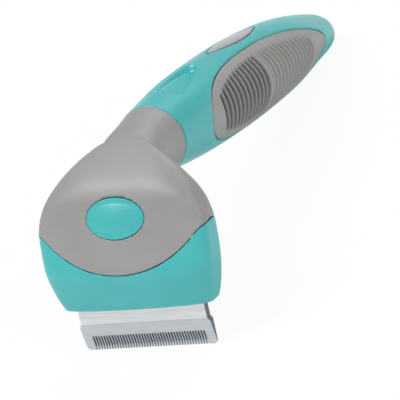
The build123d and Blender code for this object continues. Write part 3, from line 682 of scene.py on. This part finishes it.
@dataclass(frozen=True)
class Head:
    """The grey head: a cover with the button's opening, and the neck with its collar."""

    form: HeadForm = HeadForm()
    seam_gap: float = 0.45
    wall: float = 2.2
    rim: float = 0.45
    hole: tuple[float, float] = (11.5, 7.7)
    button_height: float = 40.8
    button_tilt: float = 14.7
    around: int = 320
    across: int = 72
    crowding: int = 4
    furthest: float = 12.0
    halvings: int = 40
    neck_at: tuple[float, ...] = (8, 16, 20, 25, 31, 37.4)
    neck_radii: tuple[float, ...] = (9.2, 11.0, 11.3, 11.7, 12.2, 13.0)
    neck_half_widths: tuple[float, ...] = (11.0, 13.0, 13.0, 12.5, 12.4, 13.0)
    neck_heights: tuple[float, ...] = (47.5, 52.6, 53.9, 54.4, 54.6, 54.6)
    neck_along: int = 60
    neck_around: int = 160
    collar: float = 38.0
    groove: float = 0.5
    spigot: float = 38.5
    bore: float = 6.6

    def _rays(self) -> tuple[Array, Array, Array, Array]:
        """Rays from the button's middle, and where each one leaves the front view's outline.

        The outline is the half width at each height, and the seam below. Each ray is halved
        forty times between a place inside and a place outside.

        Returns:
            The opening's outline (x, z) and the outline of the whole cover (x, z).
        """
        turn = 2 * np.pi * (np.arange(self.around) + 0.5) / self.around
        up = self.hole[1] * math.cos(math.radians(self.button_tilt))
        dx, dz = self.hole[0] * np.cos(turn), up * np.sin(turn)
        low, high = np.ones(self.around), np.full(self.around, self.furthest)
        top = self.form.heights[-1]
        for _ in range(self.halvings):
            middle = (low + high) / 2
            x, z = dx * middle, self.button_height + dz * middle
            inside = (z > self.form.seam(x) + self.seam_gap / 2) & (z < top)
            inside &= np.abs(x) < self.form.half_width(z)
            low, high = np.where(inside, middle, low), np.where(inside, high, middle)
        return dx, self.button_height + dz, dx * low, self.button_height + dz * low

    def cover(self, shop: Shop) -> None:
        """Build the cover.

        The front is a grid from the opening to the outline along the rays, and the back is a
        grid from the outline to a pole behind the button; the two share their silhouette. The
        rows crowd towards the outline as the fourth power of their share of the way.

        Args:
            shop: the builder's tools.
        """
        hx, hz, ox, oz = self._rays()
        way = np.linspace(0, 1, self.across)[:, None]
        share = 1 - (1 - way) ** self.crowding
        sheet = Sheet("head_cover")
        x, z = hx + (ox - hx) * share, hz + (oz - hz) * share
        sheet.add_grid(np.stack([x, self.form.depth(x, z, True), z], -1), closed=True)
        inward = 1 - way ** self.crowding
        x, z = ox * inward, self.button_height + (oz - self.button_height) * inward
        sheet.add_grid(np.stack([x, self.form.depth(x, z, False), z], -1), closed=True, pole=True)
        cover = sheet.build(shop.rest, weld=True)
        thicken(cover, self.wall, self.rim)
        shop.fit(cover, Body.ROOT, Finish.GREY, "head_plastic", "head_shell")

    def neck(self, shop: Shop) -> None:
        """Build the neck: ovals along Y that become the round collar, its rounded end and its bore.

        Args:
            shop: the builder's tools.
        """
        y = np.linspace(self.neck_at[0], self.neck_at[-1], self.neck_along)
        radius = SmoothTable(self.neck_at, self.neck_radii)(y)
        widen = SmoothTable(self.neck_at, self.neck_half_widths)(y) / radius
        height = SmoothTable(self.neck_at, self.neck_heights)(y)
        turn = np.linspace(0, np.pi / 2, 7)[1:]
        edge = self.collar - self.neck_at[-1]
        rounded = radius[-1] - edge + edge * np.cos(turn)
        floor = rounded[-1] - self.groove
        y = np.concatenate([y, self.neck_at[-1] + edge * np.sin(turn),
                            [self.collar, self.spigot, self.spigot]])
        radius = np.concatenate([radius, rounded, [floor, floor, self.bore]])
        added = len(y) - self.neck_along
        height = np.concatenate([height, np.full(added, height[-1])])
        widen = np.concatenate([widen, np.ones(added)])
        around = np.linspace(0, 2 * np.pi, self.neck_around, endpoint=False)
        points = np.stack([
            (radius * widen)[:, None] * np.cos(around),
            np.repeat(y[:, None], self.neck_around, axis=1),
            height[:, None] + radius[:, None] * np.sin(around),
        ], -1)
        sheet = Sheet("neck_collar")
        sheet.add_grid(points, closed=True)
        neck = sheet.build(shop.rest)
        shop.fit(neck, Body.ROOT, Finish.GREY, "head_plastic")

    def build(self, shop: Shop) -> None:
        """Build the cover and the neck."""
        self.cover(shop)
        self.neck(shop)


@dataclass(frozen=True)
class Cartridge:
    """The teal cartridge: front and rear mouldings round the blade, and the steel comb."""

    form: HeadForm = HeadForm()
    seam_gap: float = 0.45
    wall: float = 2.0
    rim: float = 0.35
    slot_half: float = 25.2
    slot_front: float = -0.2
    slot_back: float = 3.2
    slot_depth: float = 3.0
    across: int = 161
    rows: int = 70
    under_rows: int = 12
    crowding: int = 4
    settling: int = 30

    def half(self, shop: Shop, front: bool) -> bpy.types.Object:
        """Build one moulding, from the seam down to the bottom and in to the blade's slot.

        Width depends on height, and the seam's height on the place across, so the two are
        worked out in turn until they settle.

        Args:
            shop: the builder's tools.
            front: True for the front moulding.

        Returns:
            The piece, not yet dressed.
        """
        low = self.form.heights[0]
        even = np.linspace(-1, 1, self.across)[None, :]
        u = np.sign(even) * (1 - (1 - np.abs(even)) ** self.crowding)
        share = np.linspace(1, 0, self.rows)[:, None] ** 1.3
        z = low + share * 20
        for _ in range(self.settling):
            x = self.form.half_width(z) * u
            z = low + share * (self.form.seam(x) - self.seam_gap / 2 - low)
        x = self.form.half_width(z) * u
        outer = np.stack([x, self.form.depth(x, z, front), z], -1)
        edge = outer[-1]
        slot_y = self.slot_front if front else self.slot_back
        slot = np.stack([np.clip(edge[:, 0], -self.slot_half, self.slot_half),
                         np.full(self.across, slot_y), edge[:, 2]], -1)
        steps = np.linspace(0, 1, self.under_rows)[1:, None, None]
        under = edge + (slot - edge) * steps
        inner = slot + np.array([0, 0, self.slot_depth])
        sheet = Sheet("cartridge_front_skin" if front else "cartridge_rear_skin")
        sheet.add_grid(np.concatenate([outer, under, inner[None]]))
        return sheet.build(shop.rest)

    def build(self, shop: Shop) -> None:
        """Build and dress both mouldings and the blade.

        Args:
            shop: the builder's tools.
        """
        for front, node in ((True, "cartridge_front"), (False, "cartridge_rear")):
            piece = self.half(shop, front)
            thicken(piece, self.wall, self.rim)
            shop.fit(piece, Body.CARTRIDGE, Finish.TEAL, "teal_plastic", node)
        shop.paint.dress(frame["nodes"]["blade"], Finish.BLADE)


@dataclass(frozen=True)
class Button:
    """The oval push button: a crowned cap with a rounded rim."""

    centre: tuple[float, float, float] = (0.0, -3.8, 40.8)
    tilt: float = 14.7
    half_width: float = 10.95
    half_height: float = 7.2
    proud: float = 1.5
    rim: float = 0.7
    skirt: float = 3.6
    shank: float = 1.0
    around: int = 160
    dome_start: float = 0.4
    dome_pitch: float = 29.6 / 39
    dome_rings: int = 9

    def build(self, shop: Shop) -> None:
        """Build the cap on its tilted plane: skirt, quarter-round rim, shallow dome to a pole.

        Each ring lies some way in from the outline. As far as the rim's radius it keeps that
        distance, and from there to the pole it shrinks in proportion. The dome's rise is
        1 - (a/w)^2 - (b/h)^2 of its full height.

        Args:
            shop: the builder's tools.
        """
        turn = 2 * np.pi * np.arange(self.around) / self.around
        corner = np.linspace(0, np.pi / 2, 9)[1:]
        dome = self.rim + self.dome_start + self.dome_pitch * np.arange(self.dome_rings)
        inset = np.concatenate([[0, 0], self.rim * (1 - np.cos(corner)), dome, [self.half_height]])[:, None]
        level = np.concatenate([[-self.skirt, -self.shank], self.rim * (np.sin(corner) - 1),
                                np.zeros(self.dome_rings + 1)])[:, None]
        shrink = np.where(inset <= self.rim, 1, (self.half_height - inset) / (self.half_height - self.rim))
        a = (self.half_width - np.minimum(inset, self.rim)) * shrink * np.cos(turn)
        b = (self.half_height - np.minimum(inset, self.rim)) * shrink * np.sin(turn)
        square = (a / self.half_width) ** 2 + (b / self.half_height) ** 2
        rise = level + self.proud * (1 - square)
        c, s = math.cos(math.radians(self.tilt)), math.sin(math.radians(self.tilt))
        out, up = np.array([0, -c, s]), np.array([0, s, c])
        points = np.array(self.centre) + rise[..., None] * out + b[..., None] * up
        points[..., 0] = a
        sheet = Sheet("button_cap")
        sheet.add_grid(points, closed=True, pole=True)
        cap = sheet.build(shop.rest)
        shop.fit(cap, Body.BUTTON, Finish.TEAL, "teal_plastic")


# ---- Handle --------------------------------------------------------------------------------------
@dataclass(frozen=True)
class HandleForm:
    """The handle's outer form: round sections on a drooping centre line."""

    start: float = 38.4
    end: float = 199.8
    collar_at: float = 38.0
    collar_height: float = 54.6
    droop: float = 0.06
    sag: float = 0.00015
    tail_sag: float = 0.0013
    tail_from: float = 160.0
    at: tuple[float, ...] = (38.4, 55.4, 70.8, 90.2, 109.7, 130.7, 150.2, 169.6, 178, 185, 200.4)
    radii: tuple[float, ...] = (13.0, 14.6, 15.6, 16.1, 16.1, 15.4, 14.1, 11.5, 10.15, 9.0, 7.1)
    cap_start: float = 178.0
    pad_middle: float = 118.0
    pad_half_length: float = 59.0
    pad_half_angle: float = 58.0
    pad_front_power: float = 3.3
    pad_back_power: float = 1.6
    badge_start: float = 94.8
    badge_end: float = 139.5
    badge_half: float = 4.5
    thumb_start: float = 52.6
    thumb_end: float = 82.0
    thumb_depth: float = 2.9
    thumb_at: tuple[float, ...] = (50, 56, 66, 73.5, 79, 82.5)
    thumb_half_widths: tuple[float, ...] = (8.2, 8.0, 6.6, 5.0, 3.6, 1.6)

    def centre(self, y: Array) -> Array:
        """Height of the centre line: a straight droop, a little sag, and a tail that falls more.

        Args:
            y: places along the handle.

        Returns:
            The height at each place.
        """
        run = y - self.collar_at
        tail = self.tail_sag * np.maximum(y - self.tail_from, 0) ** 2
        return self.collar_height - self.droop * run - self.sag * run * run - tail

    def radius(self, y: Array) -> Array:
        """Radius: the stations' curve times the fourth-power rounding of the tail."""
        cap = np.clip((y - self.cap_start) / (self.end - self.cap_start), 0, 1)
        return SmoothTable(self.at, self.radii)(y) * np.sqrt(1 - cap**4)

    def pad_reach(self, y: Array) -> Array:
        """Half angle of a grip pad: an oval that is blunt towards the head.

        Args:
            y: places along the handle.

        Returns:
            The half angle at each place, in degrees.
        """
        t = np.clip((y - self.pad_middle) / self.pad_half_length, -1, 1)
        power = np.where(t < 0, self.pad_front_power, self.pad_back_power)
        return self.pad_half_angle * np.sqrt(np.clip(1 - np.abs(t) ** power, 0, 1))

    def pad_centre(self, y: Array) -> Array:
        """Angle of a pad's middle line from the top: the side, and lower at the head end."""
        return 90 + 7 * np.exp(-(y - self.pad_middle + self.pad_half_length) / 12)

    def badge_reach(self, y: Array) -> Array:
        """Half width of the badge: a lens between two arcs."""
        t = (2 * y - self.badge_start - self.badge_end) / (self.badge_end - self.badge_start)
        return self.badge_half * (1 - t * t)

    def thumb_drop(self, x: Array, y: Array, top: Array) -> Array:
        """Depth of the thumb recess: flat inside, with soft walls, steepest at its far end.

        Args:
            x: places across the handle.
            y: places along it.
            top: 1 on the upper side and 0 below.

        Returns:
            How far the surface drops.
        """
        width = SmoothTable(self.thumb_at, self.thumb_half_widths)(y)
        side = smoothstep(0.0, 1.3, width - np.abs(x))
        near = smoothstep(0.0, 2.0, y - self.thumb_start)
        far = smoothstep(0.0, 1.2, self.thumb_end - y - x * x / 10)
        return self.thumb_depth * side * near * far * top

    def surface(self, y: Array, turn: Array, radius: Array) -> Array:
        """Points on a round section about the centre line.

        Args:
            y: places along the handle.
            turn: angles from the right-hand side, in radians.
            radius: the distance from the centre line.

        Returns:
            The points.
        """
        return np.stack([radius * np.cos(turn), y, self.centre(y) + radius * np.sin(turn)], -1)


@dataclass(frozen=True)
class Handle:
    """The handle: a teal sleeve, two ribbed pads and a bare badge."""

    form: HandleForm = HandleForm()
    along: int = 420
    around: int = 208
    tail_rows: int = 40
    tail_rows_from: float = 184.0
    edge: float = 0.5
    bore: float = 6.6
    bore_depth: float = 4.0
    pocket: float = 2.1
    pocket_lip: float = 0.5
    badge_pocket: float = 0.7
    pad_along: int = 440
    pad_around: int = 150
    pad_ends: float = 0.9995
    pad_wall: float = 0.6
    pad_roll: float = 0.9
    pad_sink: float = 0.02
    pad_margin: tuple[float, float] = (3.4, 5.6)
    fin_datum: float = 70.5
    fin_pitch: float = 3.5
    fin_depth: float = 1.6
    fins_from: tuple[float, float] = (68.6, 69.4)
    fins_to: tuple[float, float] = (110.0, 111.0)
    ripple_depth: float = 0.5
    ripples_from: tuple[float, float] = (112.2, 113.2)
    ripples_to: tuple[float, float] = (160.0, 161.0)
    bow_axis: float = 88.0
    bow_from: float = 70.0
    bow_start: float = 0.0012
    bow_slope: float = 0.0052 / 89
    badge_along: int = 120
    badge_across: int = 41
    badge_end_gap: float = 0.2
    badge_side_gap: float = 0.15
    badge_wall: float = 0.3
    badge_sink: float = 0.05
    badge_lip: float = 0.45
    badge_lip_drop: float = 0.35

    def sleeve(self, shop: Shop) -> None:
        """Build the sleeve: radius by place, less the pads' and badge's pockets and thumb recess.

        Args:
            shop: the builder's tools.
        """
        f = self.form
        tail = np.cos(np.linspace(np.pi / 2, 0, self.tail_rows))
        even = np.linspace(f.start + self.edge, self.tail_rows_from, self.along - self.tail_rows)
        y = np.concatenate([even, self.tail_rows_from + (f.end - self.tail_rows_from) * tail[1:]])
        turn = np.linspace(0, 2 * np.pi, self.around, endpoint=False)[None, :]
        yy = np.repeat(y[:, None], self.around, axis=1)
        r = f.radius(yy)
        from_top = np.degrees(np.arccos(np.clip(np.sin(turn), -1, 1))) * np.ones_like(yy)
        gap = np.radians(f.pad_reach(yy) - np.abs(from_top - f.pad_centre(yy))) * r
        inside = np.abs(yy - f.pad_middle) < f.pad_half_length
        drop = self.pocket * smoothstep(-self.pocket_lip, 0.0, gap) * inside
        top = (np.sin(turn) > 0) * np.ones_like(yy)
        x = r * np.cos(turn)
        badge = smoothstep(-0.35, 0.1, f.badge_reach(yy) - np.abs(x)) * top
        badge = badge * (yy > f.badge_start) * (yy < f.badge_end)
        r = r - np.maximum(drop, self.badge_pocket * badge) - f.thumb_drop(x, yy, top)
        corner = np.linspace(0, np.pi / 2, 6)[:-1]
        mouth_y = np.concatenate([[f.start + self.bore_depth, f.start],
                                  f.start + self.edge * (1 - np.cos(corner))])
        mouth_r = np.concatenate([[self.bore, self.bore],
                                  f.radii[0] - self.edge + self.edge * np.sin(corner)])
        mouth = f.surface(np.repeat(mouth_y[:, None], self.around, axis=1), turn, mouth_r[:, None])
        points = np.concatenate([mouth, f.surface(yy, turn, r)])
        points[-1] = points[-1].mean(axis=0)
        sheet = Sheet("handle_skin")
        sheet.add_grid(points, closed=True, pole=True)
        skin = sheet.build(shop.rest)
        shop.fit(skin, Body.ROOT, Finish.TEAL, "teal_plastic", "handle_sleeve")

    def grooves(self, y: Array, angle: Array) -> Array:
        """Relief of the pad: curved fins near the head, a smooth band, shallow ripples behind.

        The grooves follow y - bow (angle - axis)^2, and the bow changes sign along the pad.
        Each groove is the bell curve exp(-d^2) of the distance d to its middle line.

        Args:
            y: places along the handle.
            angle: degrees from the top.

        Returns:
            The groove's share of its full depth, from 0 to 1.
        """
        bow = self.bow_start - (y - self.bow_from) * self.bow_slope
        g = y - bow * (angle - self.bow_axis) ** 2
        half = self.fin_pitch / 2
        valley = np.exp(-((np.mod(g - self.fin_datum + half, self.fin_pitch) - half) ** 2))
        fins = smoothstep(*self.fins_from, g) * (1 - smoothstep(*self.fins_to, g))
        ripples = smoothstep(*self.ripples_from, g) * (1 - smoothstep(*self.ripples_to, g))
        return valley * (fins + ripples * self.ripple_depth / self.fin_depth)

    def pad(self, shop: Shop, side: Side) -> None:
        """Build one pad: a grid over its oval, sunk at the outline, cut by the grooves, which are darkened
        with painted shade.

        Args:
            shop: the builder's tools.
            side: the side of the tool that the pad is on.
        """
        f = self.form
        half_turn = np.pi / 2
        v = np.sin(np.linspace(-half_turn, half_turn, self.pad_along))[:, None] * self.pad_ends
        u = np.sin(np.linspace(-half_turn, half_turn, self.pad_around))[None, :]
        y = f.pad_middle + f.pad_half_length * v
        reach = f.pad_reach(y)
        angle = f.pad_centre(y) + reach * u
        yy = np.repeat(y, self.pad_around, axis=1)
        r = f.radius(yy)
        to_edge = np.radians(reach * (1 - np.abs(u))) * r
        to_end = f.pad_half_length * (1 - np.abs(v)) * np.ones_like(yy)
        inset = np.minimum(to_edge, to_end * 1.6)
        roll = np.sqrt(np.clip(1 - (1 - np.clip(inset / self.pad_roll, 0, 1)) ** 2, 0, 1))
        cut = self.grooves(yy, angle) * smoothstep(*self.pad_margin, inset)
        r = r - self.pad_roll * (1 - roll) - self.fin_depth * cut - self.pad_sink
        rad = np.radians(angle)
        points = np.stack([side.value * r * np.sin(rad), yy, f.centre(yy) + r * np.cos(rad)], -1)
        sheet = Sheet(f"pad_{side.name.lower()}")
        # the groove attribute darkens the rubber in the grooves: painted shade
        sheet.add_grid(points, groove=np.clip(cut * 1.15, 0, 1) ** 0.9)
        pad = sheet.build(shop.rest)
        thicken(pad, self.pad_wall)
        shop.fit(pad, Body.ROOT, Finish.RUBBER, "grip_rubber", f"grip_{side.name.lower()}")

    def badge(self, shop: Shop) -> None:
        """Build the badge: a lens-shaped plate, slightly crowned, dark at its two pointed ends.

        Args:
            shop: the builder's tools.
        """
        f = self.form
        y = np.linspace(f.badge_start + self.badge_end_gap, f.badge_end - self.badge_end_gap,
                        self.badge_along)[:, None]
        reach = np.maximum(f.badge_reach(y) - self.badge_side_gap, 0.05)
        u = np.linspace(-1, 1, self.badge_across)[None, :]
        x = reach * u
        to_side = reach * (1 - np.abs(u))
        yy = np.repeat(y, self.badge_across, axis=1)
        lip = smoothstep(0.0, self.badge_lip, to_side)
        crown = np.sqrt((f.radius(yy) - self.badge_sink) ** 2 - x * x)
        z = f.centre(yy) + crown - self.badge_lip_drop * (1 - lip)
        to_end = np.minimum(yy - f.badge_start, f.badge_end - yy)
        ends = np.maximum(1 - smoothstep(1.6, 2.6, to_end), 0.85 * (1 - smoothstep(0.15, 0.6, to_side)))
        sheet = Sheet("badge_lens")
        sheet.add_grid(np.stack([x, yy, z], -1), end=ends)
        lens = sheet.build(shop.rest)
        thicken(lens, self.badge_wall)
        shop.fit(lens, Body.ROOT, Finish.BADGE, "badge_metal", "badge_plate")

    def build(self, shop: Shop) -> None:
        """Build the sleeve, the pads and the badge.

        Args:
            shop: the builder's tools.
        """
        self.sleeve(shop)
        for side in Side:
            self.pad(shop, side)
        self.badge(shop)


# ---- Inner pieces --------------------------------------------------------------------------------
@dataclass(frozen=True)
class Insides:
    """The pieces that keep their solid's shape and only get a finish."""

    finishes: tuple[tuple[str, Finish], ...] = (
        ("release_button", Finish.TEAL), ("inner_frame", Finish.INNER),
        ("cartridge_carrier", Finish.INNER), ("handle_spine", Finish.CORE),
        ("latch_leaf", Finish.SPRING), ("button_spring", Finish.SPRING),
        ("clamp_bar", Finish.SCREW), ("blade_screws", Finish.SCREW),
        ("cartridge_screws", Finish.SCREW), ("frame_screws", Finish.SCREW),
        ("latch_screws", Finish.SCREW), ("neck_screws", Finish.SCREW),
        ("handle_screws", Finish.SCREW),
    )

    def build(self, shop: Shop) -> None:
        """Dress each piece.

        Args:
            shop: the builder's tools.
        """
        for name, finish in self.finishes:
            shop.paint.dress(frame["nodes"][name], finish)
            LOG.info("%s: finish %s", name, finish.value.name)


# ---- Studio --------------------------------------------------------------------------------------
def stand(obj: bpy.types.Object, axes: Array, place: Array) -> None:
    """Link an object and stand it in the scene.

    Args:
        obj: the camera or the lamp.
        axes: its right, up and backward directions, one a row.
        place: where it stands.
    """
    bpy.context.collection.objects.link(obj)
    matrix = Matrix.Identity(4)
    for k in range(3):
        matrix.col[k][:3] = axes[k]
    matrix.col[3][:3] = place
    obj.matrix_world = matrix


@dataclass(frozen=True)
class Lamp:
    """A square area light that faces the tool."""

    name: str
    place: tuple[float, float, float]
    size: float
    power: float

    def build(self) -> None:
        """Make the light and turn it to the tool."""
        data = bpy.data.lights.new(self.name, "AREA")
        data.size = self.size
        data.energy = self.power
        direction = np.array(self.place) / np.linalg.norm(self.place)
        side = np.cross([0, 1, 0.01], direction)
        side /= np.linalg.norm(side)
        axes = np.stack([side, np.cross(direction, side), direction])
        stand(bpy.data.objects.new(self.name, data), axes, np.array(self.place))


@dataclass(frozen=True)
class Studio:
    """The camera, the floor and the lights."""

    azimuth: float = 26.92
    elevation: float = 17.61
    roll: float = 12.74
    distance: float = 1773.7
    across: float = -20.0
    up: float = -43.1
    lens: float = 450.0
    ambient: float = 0.4
    whiteness: float = 0.93
    floor_half: float = 6.0
    lamps: tuple[Lamp, ...] = (
        Lamp("key", (-0.6, -0.7, 1.6), 0.8, 20.0),
        Lamp("fill", (1.3, -0.4, 0.9), 1.0, 5.0),
        Lamp("rim", (0.3, 1.4, 1.2), 0.8, 6.0),
    )

    def camera(self, rest: RestFrame) -> None:
        """Set the camera by its azimuth, elevation and roll about the tool's own axes.

        Args:
            rest: places the tool's axes in the row frame.
        """
        az, el, roll = (math.radians(v) for v in (self.azimuth, self.elevation, self.roll))
        back = np.array([math.sin(az) * math.cos(el), -math.cos(az) * math.cos(el), math.sin(el)])
        right = np.cross([0, 0, 1], back)
        right /= np.linalg.norm(right)
        up = np.cross(back, right)
        c, s = math.cos(roll), math.sin(roll)
        rows = np.stack([c * right - s * up, s * right + c * up, back])
        place = rest.place(rows.T @ np.array([-self.across, -self.up, self.distance]))
        data = bpy.data.cameras.new("camera")
        data.lens = self.lens
        data.sensor_width = 36.0
        data.clip_end = 20.0
        camera = bpy.data.objects.new("camera", data)
        stand(camera, rest.turn(rows), place)
        bpy.context.scene.camera = camera

    def floor(self) -> None:
        """Lay a plain pale floor that keeps the shadow."""
        h = self.floor_half
        mesh = bpy.data.meshes.new("floor")
        mesh.from_pydata([(-h, -h, 0), (h, -h, 0), (h, h, 0), (-h, h, 0)], [], [(0, 1, 2, 3)])
        floor = bpy.data.objects.new("floor", mesh)
        bpy.context.collection.objects.link(floor)
        material, nodes, shader, _ = new_material("floor_white")
        shader.inputs["Base Color"].default_value = (0.9, 0.9, 0.9, 1)
        shader.inputs["Roughness"].default_value = 0.9
        seen = nodes.add("ShaderNodeLightPath").outputs["Is Camera Ray"]
        glow = nodes.add("ShaderNodeEmission", {"Color": (1, 1, 1, 1), "Strength": 1.0})
        mixed = nodes.add("ShaderNodeMixShader", {0: nodes.maths("MULTIPLY", seen, self.whiteness),
                                                  1: shader.outputs[0], 2: glow.outputs[0]})
        output = material.node_tree.nodes["Material Output"]
        material.node_tree.links.new(mixed.outputs[0], output.inputs["Surface"])
        mesh.materials.append(material)

    def build(self, rest: RestFrame) -> None:
        """Set up the whole studio.

        Args:
            rest: places the tool's axes in the row frame.
        """
        world = bpy.data.worlds.new("world")
        world.use_nodes = True
        background = world.node_tree.nodes["Background"]
        background.inputs[0].default_value = (1, 1, 1, 1)
        background.inputs[1].default_value = self.ambient
        bpy.context.scene.world = world
        self.floor()
        for lamp in self.lamps:
            lamp.build()
        self.camera(rest)


def main() -> None:
    """Build the tool in order, then the studio."""
    logging.basicConfig(level=logging.INFO, format="%(message)s")
    rest = RestFrame.from_record(blade_thickness=3.0, bevel_height=10.8)
    shop = Shop(rest, Paintbox(Effects()))
    for assembly in (Head(), Button(), Cartridge(), Handle(), Insides()):
        assembly.build(shop)
    Studio().build(rest)
    bpy.context.scene.view_settings.view_transform = "Standard"


if __name__ == "__main__":
    main()
